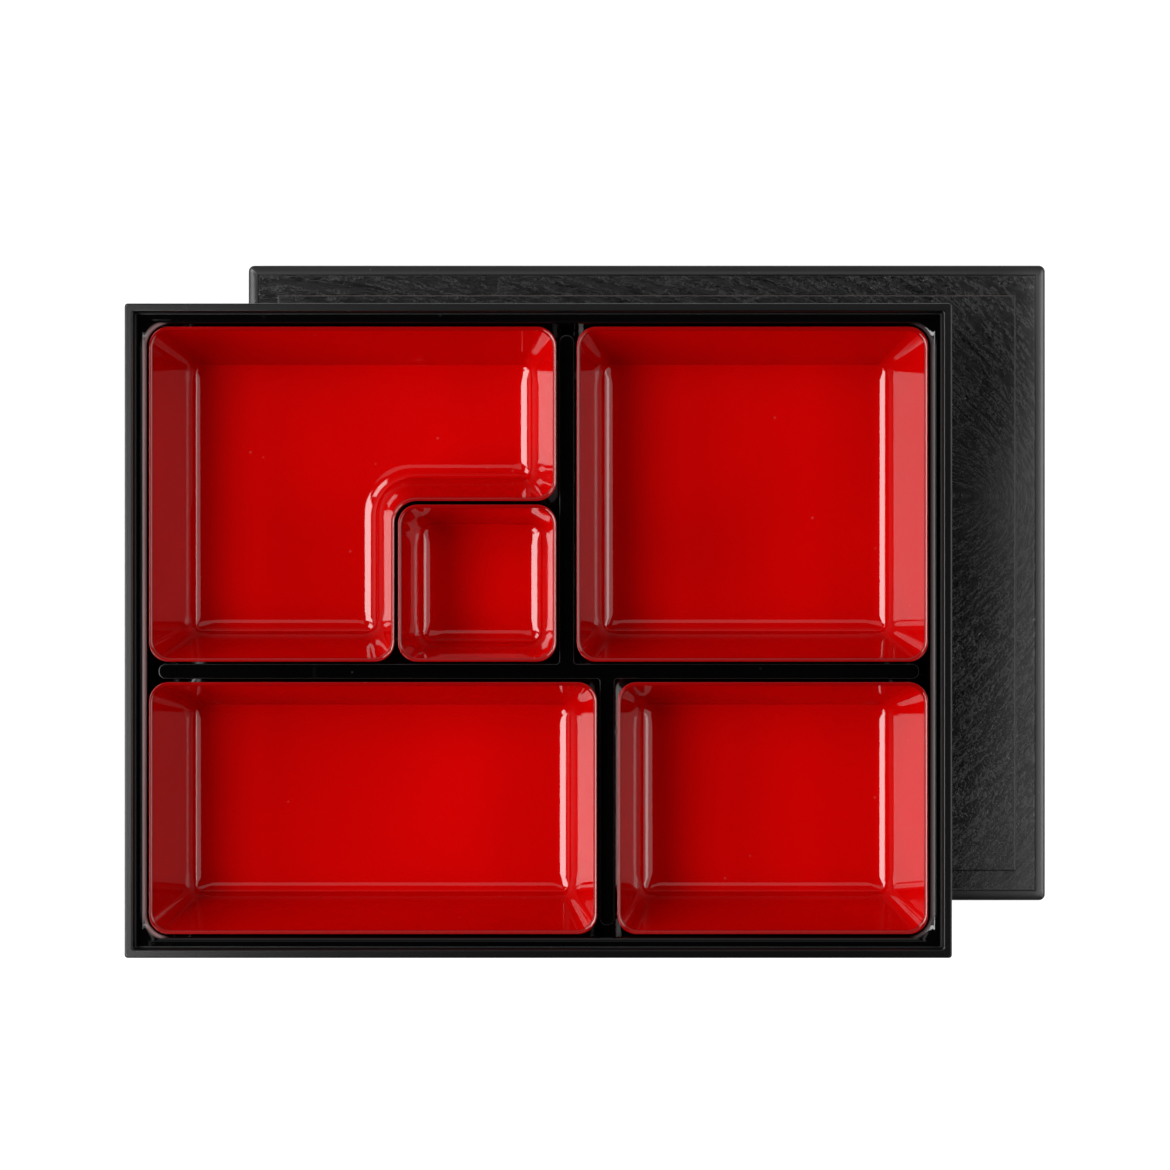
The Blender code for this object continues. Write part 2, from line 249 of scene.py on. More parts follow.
# Rubbing: long faint marks, noise stretched one way and then the other, kept where it peaks.
def makeRubGroup():
    group, start, end = newGroup("rubMarks", ("Density",), ("Mask",))
    marks = []
    for turn, stretch in finish["rubWays"]:
        mapping = addNode(group, "ShaderNodeMapping")
        mapping.inputs["Rotation"].default_value = (0.0, 0.0, turn)
        mapping.inputs["Scale"].default_value = stretch
        group.links.new(start.outputs["Vector"], mapping.inputs["Vector"])
        field = noiseNode(group, mapping.outputs[0], start.outputs["Density"], *finish["rubNoise"])
        marks.append(mapRange(group, field, *finish["rubKept"], 0.0, 1.0))
    group.links.new(mathNode(group, "MAXIMUM", *marks), end.inputs["Mask"])
    return group


# Flow: slow waves of moulded plastic plus a fine skin, as a height and as a tone.
def makeFlowGroup():
    group, start, end = newGroup("mouldFlow", ("Waves", "Skin", "Skin Share"), ("Height", "Tone"))
    place = start.outputs["Vector"]
    waves = noiseNode(group, place, start.outputs["Waves"], *finish["flowNoise"])
    skin = noiseNode(group, place, start.outputs["Skin"], *finish["skinNoise"])
    finer = mathNode(group, "MULTIPLY", skin, start.outputs["Skin Share"])
    group.links.new(mathNode(group, "ADD", waves, finer), end.inputs["Height"])
    group.links.new(mapRange(group, waves, *finish["flowKept"], 0.0, 1.0), end.inputs["Tone"])
    return group


dustGroup = makeDustGroup()
rubGroup = makeRubGroup()
flowGroup = makeFlowGroup()
print("finish groups ready")


def placeGroup(tree, group, vector, values):
    node = addNode(tree, "ShaderNodeGroup", node_tree=group)
    tree.links.new(vector, node.inputs["Vector"])
    for key, value in values.items():
        node.inputs[key].default_value = value
    return node


def attributeNode(tree, name):
    return addNode(tree, "ShaderNodeAttribute", attribute_name=name).outputs["Fac"]


def bumpNode(tree, height, strength, distance, normal=None):
    node = addNode(tree, "ShaderNodeBump")
    node.inputs["Strength"].default_value = strength
    node.inputs["Distance"].default_value = distance
    tree.links.new(height, node.inputs["Height"])
    if normal is not None:
        tree.links.new(normal, node.inputs["Normal"])
    return node.outputs["Normal"]


# Materials

# In each look, flow, dust and rub are what the shared groups are given, and a Share says how far a
# mark shows. Heights and depths are in metres.
# The lifted red is painted light, used on the cup.
redLook = {"deep": (0.44, 0.0003, 0.0004), "bright": (0.50, 0.0004, 0.0005),
           "paintedLightRed": (0.57, 0.0005, 0.0006), "rim": (0.24, 0.0006, 0.0008),
           "speck": (0.52, 0.06, 0.06), "gloss": 0.055, "dull": 0.11, "ior": 1.52,
           "flow": {"Waves": 14.0, "Skin": 900.0, "Skin Share": 0.008}, "waveHeight": 0.00022,
           "dust": {"Cells": 230.0, "Amount": 0.05}, "rub": {"Density": 120.0},
           "dustShare": 0.35, "rubShare": 0.25, "edgeShare": 0.3}
# The pale pink of the pocket's edge is a painted highlight.
blackLook = {"deep": (0.0006, 0.0006, 0.0007), "pale": (0.0012, 0.0011, 0.0012),
             "paintedHighlight": (0.35, 0.21, 0.21), "patchy": (0.75, 1.0), "speck": (0.12, 0.12, 0.12),
             "gloss": 0.05, "rim": 0.25, "edge": 0.48, "dull": 0.30, "ior": 1.5,
             "flow": {"Waves": 12.0, "Skin": 900.0, "Skin Share": 0.008}, "waveHeight": 0.00018,
             "dust": {"Cells": 300.0, "Amount": 0.10}, "rub": {"Density": 140.0},
             "dustShare": 0.12, "rubShare": 0.4}
# The paler skin towards the right end is painted light, and the edge colour is a painted highlight
# on the panel's step.
lidLook = {"deep": (0.0012, 0.0012, 0.0014), "pale": (0.028, 0.028, 0.028),
           "paintedLight": (0.092, 0.092, 0.090), "edge": (0.16, 0.13, 0.12), "speck": (0.16, 0.16, 0.16),
           "satin": 0.32, "sunk": 0.18, "gloss": 0.2, "ior": 1.5,
           "stroke": (130.0, 680.0), "strokeKept": (0.47, 0.53), "strokeDepth": 0.00022,
           "pore": (800.0, 1250.0), "poreKept": (0.46, 0.56), "poreMost": 0.9,
           "poreDepth": 0.00016, "bend": 60.0, "farFiner": 2.3, "noise": (2.0, 0.6),
           "flow": {"Waves": 30.0, "Skin": 1400.0, "Skin Share": 0.05}, "waveHeight": 0.0001,
           "waveStrength": 0.5, "dust": {"Cells": 420.0, "Amount": 0.14},
           "dustShare": 0.5, "flowShare": 0.15}


def startMaterial(name):
    material = bpy.data.materials.new(name)
    material.use_nodes = True
    tree = material.node_tree
    shader = tree.nodes["Principled BSDF"]
    place = addNode(tree, "ShaderNodeTexCoord").outputs["Object"]
    return material, tree, shader, place


def makeRedLacquer():
    look = redLook
    material, tree, shader, place = startMaterial("redLacquer")
    flow = placeGroup(tree, flowGroup, place, look["flow"])
    dust = placeGroup(tree, dustGroup, place, look["dust"])
    rub = placeGroup(tree, rubGroup, place, look["rub"])
    edge = attributeNode(tree, "edge")
    body = mixColour(tree, flow.outputs["Tone"], look["deep"], look["bright"])
    # Painted light: the cup's body is lifted to a lighter red, for light its deep walls keep off its
    # floor.
    body = mixColour(tree, attributeNode(tree, "paintedLift"), body, look["paintedLightRed"])
    body = mixColour(tree, edge, body, look["rim"])
    specks = mathNode(tree, "MULTIPLY", dust.outputs["Mask"], look["dustShare"])
    tree.links.new(mixColour(tree, specks, body, look["speck"]), shader.inputs["Base Color"])
    rubbed = mathNode(tree, "MULTIPLY", rub.outputs["Mask"], look["rubShare"])
    dulled = mathNode(tree, "MAXIMUM", rubbed, mathNode(tree, "MULTIPLY", edge, look["edgeShare"]))
    rough = mapRange(tree, dulled, 0.0, 1.0, look["gloss"], look["dull"])
    tree.links.new(rough, shader.inputs["Roughness"])
    waved = bumpNode(tree, flow.outputs["Height"], 1.0, look["waveHeight"])
    tree.links.new(waved, shader.inputs["Normal"])
    shader.inputs["IOR"].default_value = look["ior"]
    return material


def makeBlackLacquer():
    look = blackLook
    material, tree, shader, place = startMaterial("blackLacquer")
    flow = placeGroup(tree, flowGroup, place, look["flow"])
    dust = placeGroup(tree, dustGroup, place, look["dust"])
    rub = placeGroup(tree, rubGroup, place, look["rub"])
    body = mixColour(tree, flow.outputs["Tone"], look["deep"], look["pale"])
    # Painted highlight: the pocket's edge is mixed towards a pale pink, patchy along the flow.
    patchy = mapRange(tree, flow.outputs["Tone"], 0.0, 1.0, *look["patchy"])
    highlightShare = mathNode(tree, "MULTIPLY", attributeNode(tree, "highlightShare"), patchy)
    paintedHighlight = mixColour(tree, highlightShare, body, look["paintedHighlight"])
    specks = mathNode(tree, "MULTIPLY", dust.outputs["Mask"], look["dustShare"])
    tree.links.new(mixColour(tree, specks, paintedHighlight, look["speck"]), shader.inputs["Base Color"])
    rubbed = mathNode(tree, "MULTIPLY", rub.outputs["Mask"], look["rubShare"])
    smooth = mapRange(tree, rubbed, 0.0, 1.0, look["gloss"], look["dull"])
    rim = mathNode(tree, "MULTIPLY", attributeNode(tree, "rimBand"), look["rim"])
    edge = mathNode(tree, "MULTIPLY", attributeNode(tree, "edge"), look["edge"])
    rough = mathNode(tree, "MAXIMUM", smooth, mathNode(tree, "MAXIMUM", rim, edge))
    tree.links.new(rough, shader.inputs["Roughness"])
    waved = bumpNode(tree, flow.outputs["Height"], 1.0, look["waveHeight"])
    tree.links.new(waved, shader.inputs["Normal"])
    shader.inputs["IOR"].default_value = look["ior"]
    return material


# Noise at (along the grain, across the grain, y), each times its own density. The third keeps the
# two arms of an arch from mirroring each other. Far from the focus the map widens, so finer noise
# takes over there.
def grainNoise(tree, place, densities):
    uv = addNode(tree, "ShaderNodeUVMap", uv_map="grain").outputs["UV"]
    grainParts = addNode(tree, "ShaderNodeSeparateXYZ")
    tree.links.new(uv, grainParts.inputs[0])
    placeParts = addNode(tree, "ShaderNodeSeparateXYZ")
    tree.links.new(place, placeParts.inputs[0])
    sources = (grainParts.outputs[0], grainParts.outputs[1], placeParts.outputs[1])
    joined = addNode(tree, "ShaderNodeCombineXYZ")
    for slotIndex, (source, density) in enumerate(zip(sources, densities)):
        tree.links.new(mathNode(tree, "MULTIPLY", source, density), joined.inputs[slotIndex])
    near, far = (noiseNode(tree, joined.outputs[0], scale, *lidLook["noise"])
                 for scale in (1.0, lidLook["farFiner"]))
    return mapRange(tree, attributeNode(tree, "farShare"), 0.0, 1.0, near, far)


# The lid's skin reads the piece's own map "grain": first value along the grain, second across it.
# Long dark strokes, short leathery pores and the rings sink below a skin that is painted paler
# towards the right end as light, where the box's shadow thins. The crease along the bevel and the
# near side of the panel's step are painted dark as shade, and the step's other sides pale as a
# highlight. The bevel is smooth.
def makeGrainedBlack():
    look = lidLook
    material, tree, shader, place = startMaterial("grainedBlack")
    flow = placeGroup(tree, flowGroup, place, look["flow"])
    dust = placeGroup(tree, dustGroup, place, look["dust"])
    strokeNoise = grainNoise(tree, place, (*look["stroke"], look["bend"]))
    strokes = mapRange(tree, strokeNoise, *look["strokeKept"], 0.0, 1.0)
    poreNoise = grainNoise(tree, place, (*look["pore"], look["bend"]))
    pores = mapRange(tree, poreNoise, *look["poreKept"], 0.0, look["poreMost"])
    top = attributeNode(tree, "grainShare")
    marks = mathNode(tree, "MAXIMUM", strokes, pores)
    marks = mathNode(tree, "MAXIMUM", marks, attributeNode(tree, "rings"))
    marks = mathNode(tree, "MULTIPLY", marks, top)
    # Painted shade: the crease mask darkens the crease along the bevel and the step's near side,
    # besides the grain's dark heart.
    sunk = mathNode(tree, "MAXIMUM", marks, attributeNode(tree, "crease"))
    slow = mathNode(tree, "MULTIPLY", flow.outputs["Tone"], look["flowShare"])
    # Painted light: the skin turns paler towards the right end.
    skinWithLight = mixColour(tree, attributeNode(tree, "paintedLight"), look["pale"], look["paintedLight"])
    body = mixColour(tree, mathNode(tree, "MAXIMUM", sunk, slow), skinWithLight, look["deep"])
    # Painted highlight: the step's other sides take the pale edge colour.
    paintedHighlight = mixColour(tree, attributeNode(tree, "edge"), body, look["edge"])
    specks = mathNode(tree, "MULTIPLY", dust.outputs["Mask"], look["dustShare"])
    tree.links.new(mixColour(tree, specks, paintedHighlight, look["speck"]), shader.inputs["Base Color"])
    skinRough = mapRange(tree, sunk, 0.0, 1.0, look["satin"], look["sunk"])
    rough = mapRange(tree, attributeNode(tree, "smoothPlace"), 0.0, 1.0, skinRough, look["gloss"])
    tree.links.new(rough, shader.inputs["Roughness"])
    normal = bumpNode(tree, flow.outputs["Height"], look["waveStrength"], look["waveHeight"])
    for mark, depth in ((strokes, look["strokeDepth"]), (pores, look["poreDepth"])):
        height = mathNode(tree, "SUBTRACT", 1.0, mathNode(tree, "MULTIPLY", mark, top))
        normal = bumpNode(tree, height, 1.0, depth, normal)
    tree.links.new(normal, shader.inputs["Normal"])
    shader.inputs["IOR"].default_value = look["ior"]
    return material


slotMaterials = {"red_lacquer": makeRedLacquer(), "black_lacquer": makeBlackLacquer(),
                 "grained_black": makeGrainedBlack()}
print("materials ready")


# Trays

tray = {"wall": 1.2 * mm, "rimRound": 0.25 * mm, "rimTilt": (10.0, 45.0), "lip": 2.2 * mm,
        "floor": 2.0 * mm, "taper": 9.6 * mm, "dish": 11.0 * mm, "dishTilt": 27.0,
        "fillet": 0.8 * mm, "corner": 6.4 * mm, "floorCorner": 3.0 * mm, "underRound": 2.4 * mm,
        "footWidth": 2.5 * mm, "footHeight": 0.6 * mm, "notchGrowth": 0.6, "play": 1.2 * mm,
        "paintedLift": 0.0, "steps": (12, 24)}
# The cup is narrower, and its red is painted lighter as light, for the light that its deep walls
# keep off its floor
cup = dict(tray, taper=5.8 * mm, floorCorner=4.0 * mm, paintedLift=1.0)


# The foot of a tray's inner wall, point by point at a falling tilt: a tight circle that touches the
# wall, then a wide one that shares its tilt there and ends level on the floor.
def dishedFoot(size, lean):
    shared = math.radians(size["dishTilt"])
    wallTilt = math.pi / 2 - lean
    tilt = np.concatenate([np.linspace(wallTilt, shared, 9)[:-1], np.linspace(shared, 0, 13)])
    low = np.minimum(tilt, shared)
    reach = size["dish"] * np.sin(low) + size["fillet"] * (np.sin(tilt) - np.sin(low))
    climb = size["dish"] * (1 - np.cos(low)) + size["fillet"] * (np.cos(low) - np.cos(tilt))
    level = size["taper"] - math.tan(lean) * climb[0] + reach[0]
    return np.stack([level - reach, size["floor"] + climb], axis=1)


# The rim's top, from its outer round inwards: a slice of a circle whose tilt grows from the first to
# the second value of rimTilt, just wide enough for the wall, with a small round down into the wall.
def slopedRim(size, height, leanDegrees):
    start, end = size["rimTilt"]
    small = size["rimRound"]
    rounds = 1.4 * small            # what the two small rounds take of the wall's width
    spread = math.sin(math.radians(end)) - math.sin(math.radians(start))
    wide = (size["wall"] - rounds) / spread
    slope = arcPoints(0, 0, wide, 90 - start, 90 - end, 10)
    slope += np.array([small, height]) - slope[0]
    turn = arcPoints(0, 0, small, 90 - end, leanDegrees, 5)
    return np.vstack([slope, (turn + slope[-1] - turn[0])[1:]])


# A tray's profile from the middle of its underside, up its outside, over the rim and down to the
# floor. The inner wall is a straight line down to the dished foot.
def trayProfile(size, height):
    lean = math.atan2(size["taper"] - size["wall"], height - size["floor"])
    leanDegrees = math.degrees(lean)
    footOut = size["taper"] - size["wall"] + size["underRound"]
    footIn = footOut + size["footWidth"]
    rimRound = size["rimRound"]
    under = np.array([(footIn + closing, size["footHeight"]), (footIn, size["footHeight"]),
                      (footIn, 0.0), (footOut, 0.0)])
    turn = arcPoints(footOut, size["underRound"], size["underRound"], 270, 180 + leanDegrees, 8)[1:]
    lip = np.array([(0.0, height - size["lip"])])
    rimOut = arcPoints(rimRound, height - rimRound, rimRound, 180, 90 + size["rimTilt"][0], 6)
    rimIn = slopedRim(size, height, leanDegrees)
    foot = dishedFoot(size, lean)
    outer = np.vstack([under, turn, runPoints(turn[-1], lip[0], 4), lip])
    inner = np.vstack([runPoints(rimIn[-1], foot[0], 10), foot,
                       [(foot[-1, 0] + closing, size["floor"])]])
    profile = np.vstack([outer, rimOut, rimIn, inner])
    edge = np.repeat([0.0, 1.0, 0.0], [len(outer), len(rimOut) + len(rimIn), len(inner)])
    return profile, edge


# The corners of the outline tighten towards the floor, apart from a notch's own, which widens.
def makeTray(node, corners, size, name):
    low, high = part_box(node)
    profile, edge = trayProfile(size, high[2] - low[2])
    share = np.minimum(profile[:, 0] / size["taper"], 1.0)
    outward = size["corner"] + (size["floorCorner"] - size["corner"]) * share
    notch = size["corner"] + size["play"] + size["notchGrowth"] * profile[:, 0]
    turn = cornerTurns(np.array(corners))[1]
    radii = np.where(turn < 0, notch[:, None], outward[:, None])
    # The cup's share of painted light goes onto every point of its profile.
    masks = {"edge": edge, "paintedLift": np.full(len(profile), size["paintedLift"])}
    return carriedPiece(name, corners, profile, radii, node, "red_lacquer", masks, low[2],
                        size["steps"])


def makeTrays():
    cupLow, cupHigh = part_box("sauce_cup")
    lLow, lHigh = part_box("l_shaped_tray")
    notchX, notchY = cupLow[0] - tray["play"], cupHigh[1] + tray["play"]
    lCorners = [(lLow[0], lLow[1]), (notchX, lLow[1]), (notchX, notchY), (lHigh[0], notchY),
                (lHigh[0], lHigh[1]), (lLow[0], lHigh[1])]
    makeTray("l_shaped_tray", lCorners, tray, "riceTray")
    makeTray("sauce_cup", rectangle(cupLow, cupHigh), cup, "sauceCup")
    plainTrays = {"square_tray": "squareTray", "long_tray": "longTray", "small_tray": "smallTray"}
    for node, name in plainTrays.items():
        makeTray(node, rectangle(*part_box(node)), tray, name)


makeTrays()


# Outer box

boxShape = {"corner": 1.1 * mm, "draft": 1.8 * mm, "rim": 2.8 * mm, "rimRound": 0.5 * mm,
            "rimDrop": 4.4 * mm, "stepRound": 0.3 * mm, "ledge": 3.4 * mm, "ledgeCorner": 1.2 * mm,
            "pocketDepth": 40.6 * mm, "pocketCorner": 7.5 * mm, "pocketEdge": 1.7 * mm,
            "pocketDraft": 1.2 * mm, "pocketFillet": 0.9 * mm, "footHeight": 2.2 * mm,
            "footWidth": 4.0 * mm, "footInset": 1.5 * mm, "footEdge": 0.5 * mm, "steps": (10, 32)}
# How dull each part of the profile is, as shares of the look's edge and rim
boxDull = {"edge": {"rimOut": 0.6, "rimIn": 0.6},
           "rimBand": {"rimOut": 1.0, "rimTop": 1.0, "rimIn": 1.0, "step": 2.3}}
# Rubbing of the pocket's edge, and a highlight painted pale on it. A reach is a share of the
# pocket's corner, and the pairs say from where to where it sets in on the way over the edge's round.
boxRubAndHighlight = {"endReach": 0.5, "cornerReach": 0.4, "inCorner": (0.7, 0.95), "pale": (0.25, 0.7),
          "rightPale": 0.1, "leftDull": 0.5, "rightDull": 0.8}


# The box's profile by parts, from the middle of its underside, over foot, side, rim and ledge, to
# its floor: straight runs and quarter circles.
def boxParts(size, height):
    ledgeZ = height - size["rimDrop"]
    floorZ = ledgeZ - size["pocketDepth"]
    foot = size["draft"] + size["footInset"]
    footIn = foot + size["footWidth"]
    footTop = size["footHeight"]
    small, stepRound = size["footEdge"], size["stepRound"]
    pocket = size["rim"] + size["ledge"]
    pocketFoot = pocket + size["pocketDraft"]
    rimRound, edgeRound, fillet = size["rimRound"], size["pocketEdge"], size["pocketFillet"]
    under = np.vstack([[(footIn + closing, footTop), (footIn, footTop), (footIn, 0.0)],
                       arcPoints(foot + small, small, small, 270, 180, 4), [(foot, footTop)],
                       arcPoints(size["draft"] + small, footTop + small, small, 270, 180, 4)])
    rimOut = arcPoints(rimRound, height - rimRound, rimRound, 180, 90, 6)
    rimIn = arcPoints(size["rim"] - rimRound, height - rimRound, rimRound, 90, 0, 6)
    step = arcPoints(size["rim"] + stepRound, ledgeZ + stepRound, stepRound, 180, 270, 4)
    turn = arcPoints(pocket - edgeRound, ledgeZ - edgeRound, edgeRound, 90, 0, 8)
    bottom = arcPoints(pocketFoot + fillet, floorZ + fillet, fillet, 180, 270, 6)
    return {"under": under, "side": runPoints(under[-1], (0.0, height - rimRound), 8),
            "rimOut": rimOut, "rimTop": runPoints(rimOut[-1], (size["rim"] - rimRound, height), 4),
            "rimIn": rimIn, "step": step,
            "ledge": runPoints(step[-1], (pocket - edgeRound, ledgeZ), 4), "turn": turn,
            "wall": runPoints(turn[-1], (pocketFoot, floorZ + fillet), 8),
            "floor": np.vstack([bottom, [(pocketFoot + fillet + closing, floorZ)]])}


# One value for each profile point, from those given for some parts, and 0 in the others.
def partValues(parts, given):
    return np.concatenate([np.full(len(points), given.get(part, 0.0))
                           for part, points in parts.items()])


# Hands have rubbed the pocket's edge dull at both ends of the box. A highlight is painted pale on
# it, mostly at the left end. In the corners only the innermost part is rubbed and painted. Gives the
# dull and the pale shares.
def pocketRubAndHighlight(size, low, high, rings, turned, onEdge):
    x, y = np.moveaxis(rings, 2, 0)
    pocket, corner = size["rim"] + size["ledge"], size["pocketCorner"]
    endReach = corner * boxRubAndHighlight["endReach"]
    atLeft = smoothShare(low[0] + pocket + corner - x, 0, endReach)
    atRight = smoothShare(x - high[0] + pocket + corner, 0, endReach)
    endY = (high[1] - low[1]) / 2 - pocket - corner
    awayY = np.abs(y - (low[1] + high[1]) / 2)
    atCorner = smoothShare(awayY, endY, endY + corner * boxRubAndHighlight["cornerReach"])
    outer = 1 - smoothShare(turned, *boxRubAndHighlight["inCorner"])[:, None]
    rubbed = onEdge[:, None] * (1 - atCorner * outer)
    dull = rubbed * np.maximum(boxRubAndHighlight["leftDull"] * atLeft, boxRubAndHighlight["rightDull"] * atRight)
    pale = rubbed * smoothShare(turned, *boxRubAndHighlight["pale"])[:, None]
    return dull, pale * (atLeft + boxRubAndHighlight["rightPale"] * atRight)


def makeBox():
    size = boxShape
    low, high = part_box("outer_box")
    parts = boxParts(size, high[2] - low[2])
    profile = np.vstack(list(parts.values()))
    turnStart = size["rim"] + size["ledge"] - size["pocketEdge"]
    turned = np.clip((profile[:, 0] - turnStart) / size["pocketEdge"], 0, 1)
    # Corners: full outside and over the rim, half on the step, then widening over the pocket's edge
    pocketCorner = size["ledgeCorner"] + (size["pocketCorner"] - size["ledgeCorner"]) * turned
    innerCount = sum(len(parts[part]) for part in ("ledge", "turn", "wall", "floor"))
    radius = np.full(len(profile), size["corner"])
    radius[-innerCount - len(parts["step"]):] = size["corner"] / 2
    radius[-innerCount:] = pocketCorner[-innerCount:]
    radii = np.repeat(radius[:, None], 4, axis=1)
    corners = rectangle(low, high)
    rings = planRings(corners, profile[:, 0], radii, size["steps"])
    onEdge = partValues(parts, {"turn": 1.0})
    # The pale share is a painted highlight on the pocket's edge.
    dull, pale = pocketRubAndHighlight(size, low, high, rings, turned, onEdge)
    masks = {"edge": np.maximum(partValues(parts, boxDull["edge"])[:, None], dull),
             "rimBand": partValues(parts, boxDull["rimBand"]), "highlightShare": pale}
    return carriedPiece("outerBox", corners, profile, radii, "outer_box", "black_lacquer", masks,
                        low[2], size["steps"])


makeBox()


# Divider

bars = {"play": 0.9 * mm, "edge": 0.3 * mm, "joint": 1.0 * mm, "endFlat": 0.2 * mm,
        "topClosing": 0.15 * mm, "dull": 2.4, "steps": (8, 20)}


# The plan of three joined bars, carried up and over a rounded top edge, which is dull.
def makeDivider():
    low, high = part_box("divider")
    lBox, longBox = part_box("l_shaped_tray"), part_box("long_tray")
    squareBox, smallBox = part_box("square_tray"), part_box("small_tray")
    half = (lBox[0][1] - longBox[1][1]) / 2 - bars["play"]
    barY = (lBox[0][1] + longBox[1][1]) / 2
    backX = (lBox[1][0] + squareBox[0][0]) / 2
    frontX = (longBox[1][0] + smallBox[0][0]) / 2
    near, far = barY - half, barY + half
    corners = [(low[0], near), (frontX - half, near), (frontX - half, low[1]),
               (frontX + half, low[1]), (frontX + half, near), (high[0], near), (high[0], far),
               (backX + half, far), (backX + half, high[1]), (backX - half, high[1]),
               (backX - half, far), (low[0], far)]
    height = high[2] - low[2]
    edge = bars["edge"]
    rounding = arcPoints(edge, height - edge, edge, 180, 90, 6)
    profile = np.vstack([[(closing, 0.0), (0.0, 0.0)], runPoints((0.0, 0.0), rounding[0], 6),
                         rounding, [(edge + bars["topClosing"], height)]])
    inset = profile[:, :1]
    turn = cornerTurns(np.array(corners))[1]
    radii = np.where(turn < 0, bars["joint"] + inset, half - bars["endFlat"] - inset)
    plain = np.zeros(len(profile))
    dull = plain.copy()
    dull[-len(rounding) - 1:-2] = bars["dull"]
    return carriedPiece("dividerBars", corners, profile, radii, "divider", "black_lacquer",
                        {"edge": plain, "rimBand": dull, "highlightShare": plain}, low[2], bars["steps"])


makeDivider()


# Lid

# The step's pale share paints a highlight on the panel's step.
lid = {"wall": 2.4 * mm, "skirt": 20.0 * mm, "corner": 2.2 * mm, "leastCorner": 0.3 * mm,
       "edgeRound": 0.9 * mm, "hem": 0.4 * mm, "innerRound": 1.0 * mm, "bevel": 2.4 * mm,
       "bevelDrop": 0.8 * mm, "bevelTurn": 72.0, "border": 7.2 * mm, "rise": 1.1 * mm,
       "slope": 0.8 * mm, "relief": 0.16 * mm, "crease": 0.14 * mm, "creaseAt": 0.4 * mm,
       "creaseWidth": 0.3 * mm, "fadeIn": (0.3 * mm, 1.2 * mm), "smoothEdge": 0.2 * mm,
       "stepHighlight": 0.6, "heartDark": 0.95}
# Painted light: the skin is painted paler towards the right end, where the box's shadow thins, with
# a leaning, bulging border
paintedLight = {"x": (108.0 * mm, 136.0 * mm), "lean": 0.12, "bulge": 9.0 * mm, "bulgeWidth": 25.0 * mm,
        "calm": 0.6}
# Lines of the top's grid: where they crowd at its ends and, as shares of the slope, over the step
gridLines = {"columns": 104, "rows": 340, "fineFrom": 92.0 * mm, "fineStep": 0.75 * mm,
             "ends": np.array([0.25, 0.55, 0.9, 1.3, 1.8, 2.4]) * mm,
             "step": np.linspace(-0.35, 1.35, 9), "closest": 0.05 * mm}
# Each bend of the grain: height, cell and seed of its noise. Patch: cell and seed of the noise
# that makes the rings come and go, how much it does and how much narrower it is across the grain.
grain = {"focusX": 118.5 * mm, "focusY": 30.0 * mm, "blunt": 1.5 * mm, "even": 60.0 * mm,
         "bends": ((4.0 * mm, 55.0 * mm, 3), (0.8 * mm, 14.0 * mm, 8)), "ring": 3.2 * mm,
         "grooveWidth": 0.18, "patch": (20.0 * mm, 21), "patchDepth": 0.9, "patchStretch": 2.5,
         "heart": 7.0 * mm, "heartEnd": (60.0 * mm, 90.0 * mm), "far": (80.0 * mm, 170.0 * mm)}


# Lines of a grid along one axis: even spacing, marks at those distances from both ends, and fine
# ones at their own places. Lines that would lie too close to the one before are dropped.
def gradedAxis(half, count, marks, fine=()):
    even = np.linspace(-half, half, count)
    extra = np.concatenate([half - marks, marks - half, fine])
    merged = np.unique(np.round(np.concatenate([even, extra]), 6))
    keep = np.concatenate([[True], np.diff(merged) > gridLines["closest"]])
    keep[-1] = True
    return merged[keep]


# Wood grain as nested arches that point along +X, all round one focus. With r the distance from the
# focus and e the distance east of it, sqrt(r + e) stays the same along an arch and sqrt(r - e) grows
# along it. Both are scaled to metres at the distance "even", and slow noise bends them.
def grainMap(x, y):
    north = y - grain["focusY"]
    for height, cell, seed in grain["bends"]:
        north = north + height * planeNoise(x, y, cell, seed)
    east = x - grain["focusX"]
    reach = np.sqrt(east ** 2 + north ** 2 + grain["blunt"] ** 2)
    scale = math.sqrt(2 * grain["even"])
    return np.sqrt(reach - east) * scale, np.sqrt(reach + east) * scale


# A groove once per ring, from 0 to 1, with exp(-(phase / width)^2) as its section, in patches. The
# heart is one dark arch round the focus, exp(-(2 (across - heart) / heart)^2).
def ringGrooves(x, y):
    along, across = grainMap(x, y)
    phase = across / grain["ring"] - np.floor(across / grain["ring"])
    groove = np.exp(-((phase - 0.5) / grain["grooveWidth"]) ** 2)
    patches = planeNoise(along, across * grain["patchStretch"], *grain["patch"])
    heart = np.exp(-(2 * (across - grain["heart"]) / grain["heart"]) ** 2)
    heart *= 1 - smoothShare(along, *grain["heartEnd"])
    return groove * np.clip(0.5 + grain["patchDepth"] * patches, 0, 1), heart


